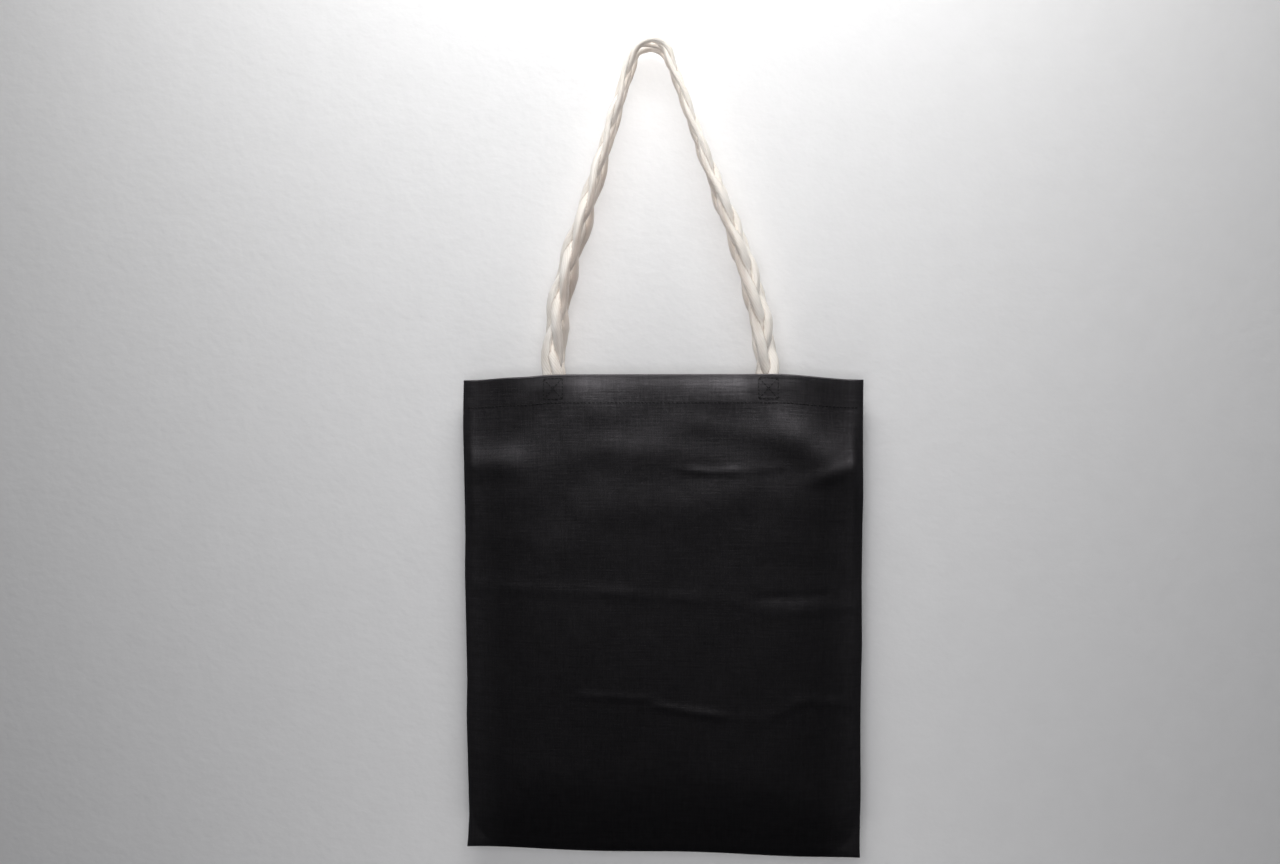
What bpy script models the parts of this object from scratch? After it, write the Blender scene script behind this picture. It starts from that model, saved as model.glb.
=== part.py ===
"""Canvas tote bag with two plaited cotton handles, hanging from the undersides of its handle loops.

Metres. The origin is the hang point, +Z is up and +Y points to the wall behind the bag.
"""

import math

import bmesh
import bpy
from mathutils import Vector

# Bag
BAG_WIDTH = 0.360
BAG_HEIGHT = 0.430
DROP = 0.293  # hang point to the bag's top edge
BAG_X = 0.009  # the bag's middle hangs this far to +X of the hang point
CLOTH = 0.0009
BULGE = 0.018  # outer face to the bag's middle plane, over the flat middle
EDGE = 0.0011  # the same at the side and bottom edges
SIDE_RUN = 0.080  # width of the curve from an edge to the flat middle
FOOT_RUN = 0.085
BAND_HEIGHT = 0.034  # the hemmed band at the mouth is drawn in a little by its stitching
BAND_STEP = 0.0012
BAND_RUN = 0.010
GAP = 0.0003  # clearance between neighbouring pieces

# Hem and seams
HEM_HEIGHT = 0.028
HEM_THICK = 0.0018
SEAM_DEPTH = 0.012
SEAM_HALF = 0.0012
THREAD = 0.0005
THREAD_WIDE = 0.0008

# Handles
FOOT_X = 0.0955  # handle foot from the bag's middle
END_WIDTH = 0.019
END_HEIGHT = 0.034
END_THICK = 0.0065
END_FACE = 0.0133  # outer face of a sewn end from the middle plane
TACK_WIDTH = 0.018
TACK_HEIGHT = 0.019
STRANDS = 3
STRAND_HALF_WIDTH = 0.00305
STRAND_HALF_THICK = 0.0022
WEAVE_X = 0.00612  # a strand's side to side travel
WEAVE_Y = 0.00298  # a strand's front to back travel
PITCH = 0.141  # plait length over which a strand returns to its place
NAIL_Y = 0.0084  # plait's middle to the bag's middle plane at the hang point
LEG_Y = 0.0113  # the same half way down the legs
FOOT_Y = 0.0086  # and at the feet
NAIL_SIZE = 0.86  # a plait is drawn thin at the hang point
LEG_SIZE = 1.20  # and is fuller along its legs than at its feet, where its size is 1
THIN_Z = -0.030  # the plaits change size and depth from these heights
FULL_HIGH_Z = -0.155
FULL_LOW_Z = -0.235
RINGS = 84
SIDES = 8
FOOT_TURN = 25  # degrees that a plait's face turns outward just above the mouth
FOOT_TURN_RUN = 0.030
TWIST_LOW = -0.287  # from here up the face turns on outward at an even rate
TWIST_HIGH = -0.065  # and above here the plait's edge faces forward

# Middle line of both plaits seen from the front, from the left foot to the right foot
ROUTE = [
    (-0.0872, -0.2920), (-0.0877, -0.2660), (-0.0827, -0.2230), (-0.0718, -0.1800),
    (-0.0573, -0.1370), (-0.0468, -0.1040), (-0.0302, -0.0504), (-0.0239, -0.0288),
    (-0.0176, -0.0099), (-0.0148, -0.0024), (-0.0091, 0.0031), (0.0000, 0.0054),
    (0.0091, 0.0031), (0.0148, -0.0024), (0.0180, -0.0105), (0.0251, -0.0295),
    (0.0327, -0.0504), (0.0515, -0.1020), (0.0616, -0.1280), (0.0824, -0.1830),
    (0.0966, -0.2340), (0.1033, -0.2750), (0.1034, -0.2920),
]

TOP_Z = -DROP
BOTTOM_Z = -DROP - BAG_HEIGHT
HALF = BAG_WIDTH / 2


def clear_scene():
    for obj in list(bpy.data.objects):
        bpy.data.objects.remove(obj)


def material(name, colour, roughness):
    mat = bpy.data.materials.new(name)
    mat.use_nodes = True
    shader = mat.node_tree.nodes["Principled BSDF"]
    shader.inputs["Base Color"].default_value = (*colour, 1.0)
    shader.inputs["Roughness"].default_value = roughness
    return mat


def add_mesh(name, verts, faces, colour, roughness=0.85):
    mesh = bpy.data.meshes.new(name)
    mesh.from_pydata(verts, [], faces)
    bm = bmesh.new()
    bm.from_mesh(mesh)
    bmesh.ops.triangulate(bm, faces=bm.faces)
    bmesh.ops.recalc_face_normals(bm, faces=bm.faces)
    bm.to_mesh(mesh)
    bm.free()
    mesh.materials.append(material(name, colour, roughness))
    obj = bpy.data.objects.new(name, mesh)
    bpy.context.collection.objects.link(obj)
    return obj


def smoothstep(low, high, value):
    t = min(1.0, max(0.0, (value - low) / (high - low)))
    return t * t * (3 - 2 * t)


def depth(x, z):
    """Distance of the bag's outer face from its middle plane, x measured from the bag's middle."""
    side = (HALF - abs(x)) / SIDE_RUN
    foot = (z - BOTTOM_Z) / FOOT_RUN
    s = min(1.0, side, foot)
    band = smoothstep(TOP_Z - BAND_HEIGHT - BAND_RUN, TOP_Z - BAND_HEIGHT, z)
    return EDGE + (BULGE - EDGE - BAND_STEP * band) * s * (2 - s)


def slab(name, xs, zs, low, high, colour, roughness=0.85):
    """A closed sheet over a grid, between two depths given as functions of x and z."""
    verts = []
    for y_of in (low, high):
        for z in zs:
            for x in xs:
                verts.append((BAG_X + x, y_of(x, z), z))
    nx = len(xs)
    nz = len(zs)
    size = nx * nz

    def index(side, i, j):
        return side * size + j * nx + i

    faces = []
    for side in (0, 1):
        for j in range(nz - 1):
            for i in range(nx - 1):
                quad = [index(side, i, j), index(side, i + 1, j)]
                quad += [index(side, i + 1, j + 1), index(side, i, j + 1)]
                faces.append(quad)
    for i in range(nx - 1):
        for j in (0, nz - 1):
            faces.append([index(0, i, j), index(0, i + 1, j), index(1, i + 1, j), index(1, i, j)])
    for j in range(nz - 1):
        for i in (0, nx - 1):
            faces.append([index(0, i, j), index(0, i, j + 1), index(1, i, j + 1), index(1, i, j)])
    return add_mesh(name, verts, faces, colour, roughness)


def mirrored(values):
    return [-v for v in reversed(values)] + values


def side_steps(reach):
    """Grid columns from the bag's middle out to reach, closer together over the curved sides."""
    flat = HALF - SIDE_RUN
    steps = [0.033, flat]
    steps += [flat + SIDE_RUN * k / 5 for k in (1, 2, 3, 4)]
    return mirrored([x for x in steps if x < reach - 0.003] + [reach])


def panel(side, name, colour):
    """side is -1 for the front and +1 for the back."""
    rows = [BOTTOM_Z + FOOT_RUN * k / 5 for k in range(6)]
    rows += [BOTTOM_Z + FOOT_RUN + 0.105, BOTTOM_Z + FOOT_RUN + 0.210]
    rows += [TOP_Z - BAND_HEIGHT - BAND_RUN, TOP_Z - BAND_HEIGHT, TOP_Z]
    slab(
        name, side_steps(HALF), rows,
        lambda x, z: side * depth(x, z),
        lambda x, z: side * (depth(x, z) - CLOTH),
        colour,
    )


def hem(side, name, colour):
    slab(
        name, side_steps(HALF - 0.012), [TOP_Z - HEM_HEIGHT, TOP_Z],
        lambda x, z: side * (depth(x, z) - CLOTH - GAP),
        lambda x, z: side * (depth(x, z) - CLOTH - GAP - HEM_THICK),
        colour,
    )


def hem_stitching(side, name, colour):
    row = TOP_Z - HEM_HEIGHT + 0.003
    slab(
        name, side_steps(HALF - 0.006), [row - THREAD_WIDE / 2, row + THREAD_WIDE / 2],
        lambda x, z: side * (depth(x, z) + GAP + THREAD),
        lambda x, z: side * (depth(x, z) + GAP),
        colour,
    )


def seam_half(x, z):
    return min(SEAM_HALF, depth(x, z) - CLOTH - GAP)


def side_seam(side, name, colour):
    """The turned-in seam allowance along one side. side is -1 for left and +1 for right."""
    outer = HALF - 0.001
    xs = sorted(side * (outer - SEAM_DEPTH * k / 4) for k in range(5))
    rows = [BOTTOM_Z + 0.018, BOTTOM_Z + 0.060, BOTTOM_Z + 0.200, TOP_Z - HEM_HEIGHT - 0.001]
    slab(name, xs, rows, lambda x, z: -seam_half(x, z), seam_half, colour)


def bottom_seam(name, colour):
    xs = mirrored([0.060, 0.120, HALF - 0.018])
    rows = [BOTTOM_Z + 0.001 + (SEAM_DEPTH - 0.001) * k / 4 for k in range(5)]
    slab(name, xs, rows, lambda x, z: -seam_half(x, z), seam_half, colour)


def handle_end(side, hand, name, colour):
    """The flattened tail of a plait, sewn inside the mouth with rounded corners.

    hand is -1 for left and +1 for right.
    """
    x = hand * FOOT_X
    corner = 0.004
    outline = []
    for cx, cz, start in ((1, -1, -90), (1, 1, 0), (-1, 1, 90), (-1, -1, 180)):
        r = corner if cz < 0 else 0.001
        for k in range(4):
            angle = math.radians(start + 30 * k)
            px = cx * (END_WIDTH / 2 - r) + r * math.cos(angle)
            pz = cz * (END_HEIGHT / 2 - r) + r * math.sin(angle)
            outline.append((BAG_X + x + px, TOP_Z + 0.0005 - END_HEIGHT / 2 + pz))
    count = len(outline)
    verts = [(px, side * END_FACE, pz) for px, pz in outline]
    verts += [(px, side * (END_FACE - END_THICK), pz) for px, pz in outline]
    faces = [list(range(count)), list(range(count, 2 * count))]
    for i in range(count):
        j = (i + 1) % count
        faces.append([i, j, count + j, count + i])
    add_mesh(name, verts, faces, colour)


def handle_tack(side, hand, name, colour):
    """Box and cross stitching on the outer face, as a flat plate with four triangular windows."""
    w = TACK_WIDTH / 2
    h = TACK_HEIGHT / 2
    t = THREAD_WIDE
    loops = [[(-w, -h), (w, -h), (w, h), (-w, h)]]
    iw = w - t
    ih = h - t
    loops.append([(-iw + 1.6 * t, -ih), (iw - 1.6 * t, -ih), (0, -1.1 * t)])
    loops.append([(-iw + 1.6 * t, ih), (iw - 1.6 * t, ih), (0, 1.1 * t)])
    loops.append([(-iw, -ih + 1.6 * t), (-iw, ih - 1.6 * t), (-1.1 * t, 0)])
    loops.append([(iw, -ih + 1.6 * t), (iw, ih - 1.6 * t), (1.1 * t, 0)])
    curve = bpy.data.curves.new(name, "CURVE")
    curve.dimensions = "2D"
    curve.fill_mode = "BOTH"
    curve.extrude = THREAD / 2
    for loop in loops:
        spline = curve.splines.new("POLY")
        spline.points.add(len(loop) - 1)
        for point, (px, pz) in zip(spline.points, loop):
            point.co = (px, pz, 0, 1)
        spline.use_cyclic_u = True
    curve.materials.append(material(name, colour, 0.6))
    obj = bpy.data.objects.new(name, curve)
    obj.rotation_euler = (math.pi / 2, 0, 0)
    y = side * (BULGE - BAND_STEP + GAP + THREAD / 2)
    obj.location = (BAG_X + hand * FOOT_X, y, TOP_Z - 0.0125)
    bpy.context.collection.objects.link(obj)


def catmull_rom(points, steps):
    """Points along a smooth curve through the given points."""
    out = []
    for i in range(len(points) - 1):
        p0 = points[max(i - 1, 0)]
        p1 = points[i]
        p2 = points[i + 1]
        p3 = points[min(i + 2, len(points) - 1)]
        for k in range(steps):
            t = k / steps
            a = 2 * p1
            b = (p2 - p0) * t
            c = (2 * p0 - 5 * p1 + 4 * p2 - p3) * t * t
            d = (3 * p1 - p0 - 3 * p2 + p3) * t * t * t
            out.append((a + b + c + d) / 2)
    out.append(points[-1])
    return out


def even_points(points, count):
    """The same curve read at equal distances, with the distance of each point."""
    lengths = [0.0]
    for a, b in zip(points, points[1:]):
        lengths.append(lengths[-1] + (b - a).length)
    out = []
    k = 0
    for i in range(count):
        s = lengths[-1] * i / (count - 1)
        while k < len(points) - 2 and lengths[k + 1] < s:
            k += 1
        t = (s - lengths[k]) / (lengths[k + 1] - lengths[k])
        out.append((points[k].lerp(points[k + 1], t), s))
    return out


def along_leg(z, at_nail, at_leg, at_foot):
    """A value that changes smoothly down a leg, from the hang point to the foot."""
    if z > FULL_HIGH_Z:
        return at_leg + (at_nail - at_leg) * smoothstep(FULL_HIGH_Z, THIN_Z, z)
    return at_foot + (at_leg - at_foot) * smoothstep(TOP_Z, FULL_LOW_Z, z)


def plait_line(side):
    """Middle line of one plait, as points of (position, distance along it)."""
    points = []
    for x, z in ROUTE:
        points.append(Vector((x, 0.0, z)))
    line = catmull_rom(points, 8)
    for point in line:
        point.y = side * along_leg(point.z, NAIL_Y, LEG_Y, FOOT_Y)
    return even_points(line, RINGS)


def face_turn(z):
    """How far a plait's face has turned from forward to outward, in radians."""
    low = FOOT_TURN * smoothstep(TOP_Z, TOP_Z + FOOT_TURN_RUN, z)
    high = min(1.0, max(0.0, (z - TWIST_LOW) / (TWIST_HIGH - TWIST_LOW)))
    return math.radians(low + (90 - FOOT_TURN) * high)


def plait_frames(side):
    """For each ring: middle, width direction, thickness direction and distance."""
    line = plait_line(side)
    frames = []
    for i, (point, s) in enumerate(line):
        ahead = line[min(i + 1, len(line) - 1)][0]
        behind = line[max(i - 1, 0)][0]
        along = (ahead - behind).normalized()
        if i in (0, len(line) - 1):
            along = Vector((0, 0, 1 if i == 0 else -1))
        across = Vector((0, 1, 0)).cross(along).normalized()
        through = along.cross(across)
        turn = side * face_turn(point.z)
        wide = across * math.cos(turn) + through * math.sin(turn)
        thick = through * math.cos(turn) - across * math.sin(turn)
        frames.append((point, wide, thick, s))
    return frames


def strand(side, number, name, colour):
    frames = plait_frames(side)
    verts = []
    for point, wide, thick, s in frames:
        phase = 2 * math.pi * (s / PITCH + number / STRANDS)
        size = along_leg(point.z, NAIL_SIZE, LEG_SIZE, 1.0)
        for k in range(SIDES):
            angle = 2 * math.pi * (k + 0.5) / SIDES
            u = WEAVE_X * math.sin(phase) + STRAND_HALF_WIDTH * math.cos(angle)
            v = WEAVE_Y * math.sin(2 * phase) + STRAND_HALF_THICK * math.sin(angle)
            verts.append(point + wide * (size * u) + thick * (size * v))
    faces = [list(range(SIDES)), list(range(len(verts) - SIDES, len(verts)))]
    for i in range(len(frames) - 1):
        for k in range(SIDES):
            a = i * SIDES + k
            b = i * SIDES + (k + 1) % SIDES
            faces.append([a, b, b + SIDES, a + SIDES])
    add_mesh(name, verts, faces, colour)


def build():
    clear_scene()
    black = (0.012, 0.011, 0.012)
    lining = (0.016, 0.015, 0.016)
    thread = (0.020, 0.019, 0.020)
    cotton = (0.78, 0.72, 0.62)
    for side, which in ((-1, "front"), (1, "back")):
        panel(side, f"{which}_panel", black)
        hem(side, f"{which}_hem", lining)
        hem_stitching(side, f"{which}_hem_stitching", thread)
        for hand, where in ((-1, "left"), (1, "right")):
            handle_end(side, hand, f"{which}_handle_end_{where}", cotton)
            handle_tack(side, hand, f"{which}_handle_tack_{where}", thread)
        for number in range(STRANDS):
            strand(side, number, f"{which}_handle_strand_{number + 1}", cotton)
    side_seam(-1, "left_side_seam", lining)
    side_seam(1, "right_side_seam", lining)
    bottom_seam("bottom_seam", lining)


build()
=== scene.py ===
import math

import bpy
import numpy as np
from mathutils import Matrix, Vector


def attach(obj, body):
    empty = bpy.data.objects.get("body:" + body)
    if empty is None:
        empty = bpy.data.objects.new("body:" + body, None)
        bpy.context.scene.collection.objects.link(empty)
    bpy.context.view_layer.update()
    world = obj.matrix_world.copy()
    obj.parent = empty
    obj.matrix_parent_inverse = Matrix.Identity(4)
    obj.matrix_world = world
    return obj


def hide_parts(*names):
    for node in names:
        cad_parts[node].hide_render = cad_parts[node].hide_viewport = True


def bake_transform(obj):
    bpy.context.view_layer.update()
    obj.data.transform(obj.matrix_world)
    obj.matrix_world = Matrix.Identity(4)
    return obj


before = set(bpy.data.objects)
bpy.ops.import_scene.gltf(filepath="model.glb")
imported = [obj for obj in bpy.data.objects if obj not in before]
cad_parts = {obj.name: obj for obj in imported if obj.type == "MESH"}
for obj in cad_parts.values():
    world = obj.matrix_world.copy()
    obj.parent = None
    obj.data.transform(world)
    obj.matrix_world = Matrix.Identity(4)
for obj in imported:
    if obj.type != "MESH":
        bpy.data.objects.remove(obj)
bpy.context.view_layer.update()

# ---------------------------------------------------------------- sizes, in metres
# The bag, whose front faces -Y
BAG_WIDTH = 0.360
BAG_HEIGHT = 0.430
HALF = BAG_WIDTH / 2
TOP_Z = -0.293
BOTTOM_Z = TOP_Z - BAG_HEIGHT
BAG_X = 0.009  # the bag's middle hangs this far to +X of the hang point
CLOTH = 0.0009
BULGE = 0.018  # outer face to the bag's middle plane, over the flat middle
EDGE = 0.0011  # the same at the side and bottom edges
SIDE_RUN = 0.080  # width of the curve from an edge to the flat middle
FOOT_RUN = 0.085
BAND_LOW = 0.072  # the mouth is drawn in between these distances below its edge
BAND_HIGH = 0.028
BAND_STEP = 0.0012
ROLL = 0.00135  # radius of the turned edge at the mouth
THIN = 0.00005  # least distance of cloth from the bag's middle plane
HEM_HEIGHT = 0.028
STITCH_Z = TOP_Z - HEM_HEIGHT + 0.003

SIDES_OF_BAG = ((-1, "front"), (1, "back"))
HANDS = ((-1, "left"), (1, "right"))

# Stitches
STITCH_PITCH = 0.0034
STITCH_SHARE = 0.80  # part of the pitch that shows as thread
STITCH_REST = 0.00008  # the thread's middle above the cloth
BOX_PITCH = 0.0031
BOX_HALF_WIDTH = 0.0085
BOX_HALF_HEIGHT = 0.0091
BOX_Z = TOP_Z - 0.0125

# Seam allowances, turned in between the panels
SEAM_EDGE = 0.0125  # raw edge of a side seam from the bag's edge
SEAM_END = 0.018  # the bottom seam stops this far from the sides
BOTTOM_EDGE = 0.0120  # raw edge of the bottom seam above the bag's bottom
OVERLOCK_PITCH = 0.0021
OVERLOCK_BITE = 0.0034
OVERLOCK_OUT = 0.00118  # thread's middle from the allowance's middle, on its two faces
OVERLOCK_RADIUS = 0.00021

# Handles
FOOT_X = 0.0955  # handle foot from the bag's middle
PITCH = 0.141  # plait length over which a strand returns to its place
NAIL_Y = 0.0084  # plait's middle to the bag's middle plane at the hang point
LEG_Y = 0.0113  # the same half way down the legs
FOOT_Y = 0.0086  # and at the feet
NAIL_SIZE = 0.86  # a plait is drawn thin at the hang point
LEG_SIZE = 1.20  # and is fuller along its legs than at its feet, where its size is 1
THIN_Z = -0.030  # the plaits change size and depth from these heights
FULL_HIGH_Z = -0.155
FULL_LOW_Z = -0.235
FOOT_TURN = 25  # degrees that a plait's face turns outward just above the mouth
FOOT_TURN_RUN = 0.030
TWIST_LOW = -0.287  # from here up the face turns on outward at an even rate
TWIST_HIGH = -0.065  # and above here the plait's edge faces forward
STRANDS = 3
RINGS = 420
SIDES = 22
STRAND_WIDE = 0.0042  # half width and half thickness of one soft strand
STRAND_THICK = 0.0028
SWAY = 0.0050  # how far a strand travels to each side, and to the front and back
OVER = 0.0023
AROUND_UV = 0.0011  # texture distance between neighbouring points round a strand
TAIL_DROP = 0.0335  # the flattened tails reach this far below the plaits' feet
TAIL_Y = 0.0101
TAIL_STEPS = 16
TAIL_SPACING = 0.0058

# Middle line of both plaits seen from the front, from the left foot to the right foot
ROUTE = [
    (-0.0872, -0.2920), (-0.0877, -0.2660), (-0.0827, -0.2230), (-0.0718, -0.1800),
    (-0.0573, -0.1370), (-0.0468, -0.1040), (-0.0302, -0.0504), (-0.0239, -0.0288),
    (-0.0176, -0.0099), (-0.0148, -0.0024), (-0.0091, 0.0031), (0.0000, 0.0054),
    (0.0091, 0.0031), (0.0148, -0.0024), (0.0180, -0.0105), (0.0251, -0.0295),
    (0.0327, -0.0504), (0.0515, -0.1020), (0.0616, -0.1280), (0.0824, -0.1830),
    (0.0966, -0.2340), (0.1033, -0.2750), (0.1034, -0.2920),
]


# ---------------------------------------------------------------- camera
CAMERA_AT = (0.0593, -0.989, -0.3056)
CAMERA_TURN = (4.0, -1.98, 0.06)  # yaw, pitch and roll in degrees
SENSOR = 36  # millimetres
LENS = SENSOR * 1100 / 1280


def rotation(yaw, pitch, roll):
    turn = Matrix.Rotation(yaw, 3, "Z") @ Matrix.Rotation(pitch, 3, "X")
    return turn @ Matrix.Rotation(roll, 3, "Y")


def add_camera():
    turn = rotation(*(math.radians(angle) for angle in CAMERA_TURN))
    right, ahead, up = (turn.col[i] for i in range(3))
    data = bpy.data.cameras.new("camera")
    data.lens = LENS
    data.sensor_width = SENSOR
    data.clip_start = 0.01
    obj = bpy.data.objects.new("camera", data)
    axes = Matrix((right, up, -ahead)).transposed().to_4x4()
    obj.matrix_world = Matrix.Translation(CAMERA_AT) @ axes
    bpy.context.scene.collection.objects.link(obj)
    bpy.context.scene.camera = obj


add_camera()


# ---------------------------------------------------------------- node helpers
def new_material(name):
    mat = bpy.data.materials.new(name)
    mat.use_nodes = True
    tree = mat.node_tree
    return mat, tree, tree.nodes["Principled BSDF"]


def math_node(tree, operation, a, b=None):
    n = tree.nodes.new("ShaderNodeMath")
    n.operation = operation
    for k, value in enumerate((a, b)):
        if value is None:
            continue
        if isinstance(value, (int, float)):
            n.inputs[k].default_value = value
        else:
            tree.links.new(value, n.inputs[k])
    return n.outputs[0]


def mix_colour(tree, factor, a, b):
    n = tree.nodes.new("ShaderNodeMix")
    n.data_type = "RGBA"
    for socket, value in ((n.inputs[0], factor), (n.inputs[6], a), (n.inputs[7], b)):
        if hasattr(value, "is_output"):
            tree.links.new(value, socket)
        elif isinstance(value, tuple):
            socket.default_value = (*value, 1.0)
        else:
            socket.default_value = value
    return n.outputs[2]


def noise(tree, vector, scale, detail=3.0, roughness=0.55):
    n = tree.nodes.new("ShaderNodeTexNoise")
    n.inputs["Scale"].default_value = scale
    n.inputs["Detail"].default_value = detail
    n.inputs["Roughness"].default_value = roughness
    tree.links.new(vector, n.inputs["Vector"])
    return n.outputs["Fac"]


def scaled(tree, vector, by):
    n = tree.nodes.new("ShaderNodeVectorMath")
    n.operation = "MULTIPLY"
    n.inputs[1].default_value = by
    tree.links.new(vector, n.inputs[0])
    return n.outputs[0]


def remap(tree, value, low, high, to_low, to_high):
    n = tree.nodes.new("ShaderNodeMapRange")
    n.inputs["From Min"].default_value = low
    n.inputs["From Max"].default_value = high
    n.inputs["To Min"].default_value = to_low
    n.inputs["To Max"].default_value = to_high
    tree.links.new(value, n.inputs["Value"])
    return n.outputs["Result"]


def bump(tree, shader, height, strength, distance, normal=None):
    n = tree.nodes.new("ShaderNodeBump")
    n.inputs["Strength"].default_value = strength
    n.inputs["Distance"].default_value = distance
    tree.links.new(height, n.inputs["Height"])
    if normal is not None:
        tree.links.new(normal, n.inputs["Normal"])
    tree.links.new(n.outputs["Normal"], shader.inputs["Normal"])
    return n.outputs["Normal"]


def uv(tree):
    n = tree.nodes.new("ShaderNodeUVMap")
    n.uv_map = "UVMap"
    return n.outputs["UV"]


def ripple(tree, value):
    """A rounded ridge for each whole step of value."""
    sine = math_node(tree, "SINE", math_node(tree, "MULTIPLY", value, math.pi))
    return math_node(tree, "ABSOLUTE", sine)


def canvas(name, dark, light, thread=0.00075):
    """Plain weave: warp and weft cross in a checker, with slubs, lint and edges polished by use."""
    mat, tree, shader = new_material(name)
    flat = uv(tree)
    cells = scaled(tree, flat, (1 / thread, 1 / thread, 1.0))
    warped = tree.nodes.new("ShaderNodeVectorMath")
    warped.operation = "ADD"
    slub = noise(tree, scaled(tree, flat, (40.0, 900.0, 1.0)), 1.0, 2.0)
    tree.links.new(cells, warped.inputs[0])
    tree.links.new(math_node(tree, "MULTIPLY", slub, 0.6), warped.inputs[1])
    split = tree.nodes.new("ShaderNodeSeparateXYZ")
    tree.links.new(warped.outputs[0], split.inputs[0])
    u, v = split.outputs[0], split.outputs[1]
    across = ripple(tree, u)
    along = ripple(tree, v)
    over = tree.nodes.new("ShaderNodeTexChecker")
    over.inputs["Scale"].default_value = 1.0
    over.inputs["Color1"].default_value = (1, 1, 1, 1)
    over.inputs["Color2"].default_value = (0, 0, 0, 1)
    lifted = tree.nodes.new("ShaderNodeVectorMath")
    lifted.operation = "ADD"
    lifted.inputs[1].default_value = (0, 0, 0.5)
    tree.links.new(warped.outputs[0], lifted.inputs[0])
    tree.links.new(lifted.outputs[0], over.inputs["Vector"])
    warp_up = math_node(tree, "MULTIPLY", across, over.outputs["Fac"])
    weft_up = math_node(tree, "MULTIPLY", along, math_node(tree, "SUBTRACT", 1.0, over.outputs["Fac"]))
    weave = math_node(tree, "MAXIMUM", warp_up, weft_up)
    lint = noise(tree, flat, 2600.0, 4.0, 0.7)
    warp_streak = noise(tree, scaled(tree, flat, (520.0, 38.0, 1.0)), 1.0, 3.0, 0.6)
    weft_streak = noise(tree, scaled(tree, flat, (34.0, 560.0, 1.0)), 1.0, 3.0, 0.6)
    streak = math_node(tree, "ADD", warp_streak, weft_streak)
    mottle = noise(tree, flat, 120.0, 4.0, 0.65)
    height = math_node(tree, "ADD", weave, math_node(tree, "MULTIPLY", lint, 0.5))
    weave_tone = math_node(tree, "MULTIPLY", weave, 0.4)
    tone = math_node(tree, "ADD", weave_tone, math_node(tree, "MULTIPLY", mottle, 0.6))
    tree.links.new(mix_colour(tree, tone, dark, light), shader.inputs["Base Color"])
    tree.links.new(remap(tree, lint, 0.3, 0.7, 0.44, 0.54), shader.inputs["Roughness"])
    patchy = math_node(tree, "ADD", streak, mottle)
    place_u = tree.nodes.new("ShaderNodeSeparateXYZ")
    tree.links.new(flat, place_u.inputs[0])
    from_middle = math_node(tree, "ABSOLUTE", place_u.outputs[0])
    polished = remap(tree, from_middle, HALF - 0.035, HALF, 1.0, 1.8)
    gloss = math_node(tree, "MULTIPLY", remap(tree, patchy, 1.1, 1.9, 1.12, 1.6), polished)
    shader.inputs["Specular IOR Level"].default_value = 1.35
    tree.links.new(gloss, shader.inputs["Specular IOR Level"])
    shader.inputs["Specular Tint"].default_value = (0.98, 0.93, 1.0, 1.0)
    shader.inputs["Sheen Weight"].default_value = 0.02
    shader.inputs["Sheen Roughness"].default_value = 0.45
    shader.inputs["Sheen Tint"].default_value = (0.9, 0.88, 1.0, 1.0)
    coarse = bump(tree, shader, patchy, 0.28, 0.0006)
    bump(tree, shader, height, 0.45, 0.00012, coarse)
    return mat


def thread_material(name, colour):
    mat, tree, shader = new_material(name)
    flat = uv(tree)
    twist = tree.nodes.new("ShaderNodeTexWave")
    twist.inputs["Scale"].default_value = 1.0
    twist.wave_type = "BANDS"
    twist.bands_direction = "DIAGONAL"
    tree.links.new(scaled(tree, flat, (900.0, 900.0, 1.0)), twist.inputs["Vector"])
    shade = mix_colour(tree, twist.outputs["Fac"], tuple(c * 0.6 for c in colour), colour)
    tree.links.new(shade, shader.inputs["Base Color"])
    shader.inputs["Roughness"].default_value = 0.6
    shader.inputs["Sheen Weight"].default_value = 0.03
    bump(tree, shader, twist.outputs["Fac"], 0.4, 0.00008)
    return mat


def cotton(name, light, shade):
    """Soft undyed cotton: twisted yarns along each strand, with a brown painted shade mixed in where
    strands lie in the creases between them and on the plait's inner edge.
    """
    mat, tree, shader = new_material(name)
    flat = uv(tree)
    yarns = tree.nodes.new("ShaderNodeTexWave")
    yarns.wave_type = "BANDS"
    yarns.bands_direction = "DIAGONAL"
    yarns.inputs["Scale"].default_value = 1.0
    yarns.inputs["Distortion"].default_value = 2.2
    yarns.inputs["Detail"].default_value = 2.0
    yarns.inputs["Detail Scale"].default_value = 1.4
    tree.links.new(scaled(tree, flat, (330.0, 110.0, 1.0)), yarns.inputs["Vector"])
    fibre = noise(tree, scaled(tree, flat, (2400.0, 420.0, 1.0)), 1.0, 5.0, 0.7)
    mottle = noise(tree, scaled(tree, flat, (60.0, 34.0, 1.0)), 1.0, 3.0)
    painted_shade = tree.nodes.new("ShaderNodeAttribute")
    painted_shade.attribute_name = "painted_shade"
    warm = tuple(a * b for a, b in zip(light, (0.96, 0.935, 0.90)))
    surface = mix_colour(tree, remap(tree, mottle, 0.35, 0.65, 0.0, 1.0), light, warm)
    grey = remap(tree, yarns.outputs["Fac"], 0.0, 0.55, 0.16, 0.0)
    surface = mix_colour(tree, grey, surface, tuple(c * 0.72 for c in warm))
    # Painted shade: the cotton turns towards the brown shade colour in the creases between strands and on
    # the loop's inner edge.
    surface = mix_colour(tree, painted_shade.outputs["Fac"], surface, shade)
    tree.links.new(surface, shader.inputs["Base Color"])
    shader.inputs["Roughness"].default_value = 0.88
    shader.inputs["Specular IOR Level"].default_value = 0.2
    shader.inputs["Sheen Weight"].default_value = 0.45
    shader.inputs["Sheen Roughness"].default_value = 0.5
    height = math_node(tree, "ADD", math_node(tree, "MULTIPLY", yarns.outputs["Fac"], 0.7), fibre)
    bump(tree, shader, height, 0.55, 0.00035)
    return mat


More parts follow.
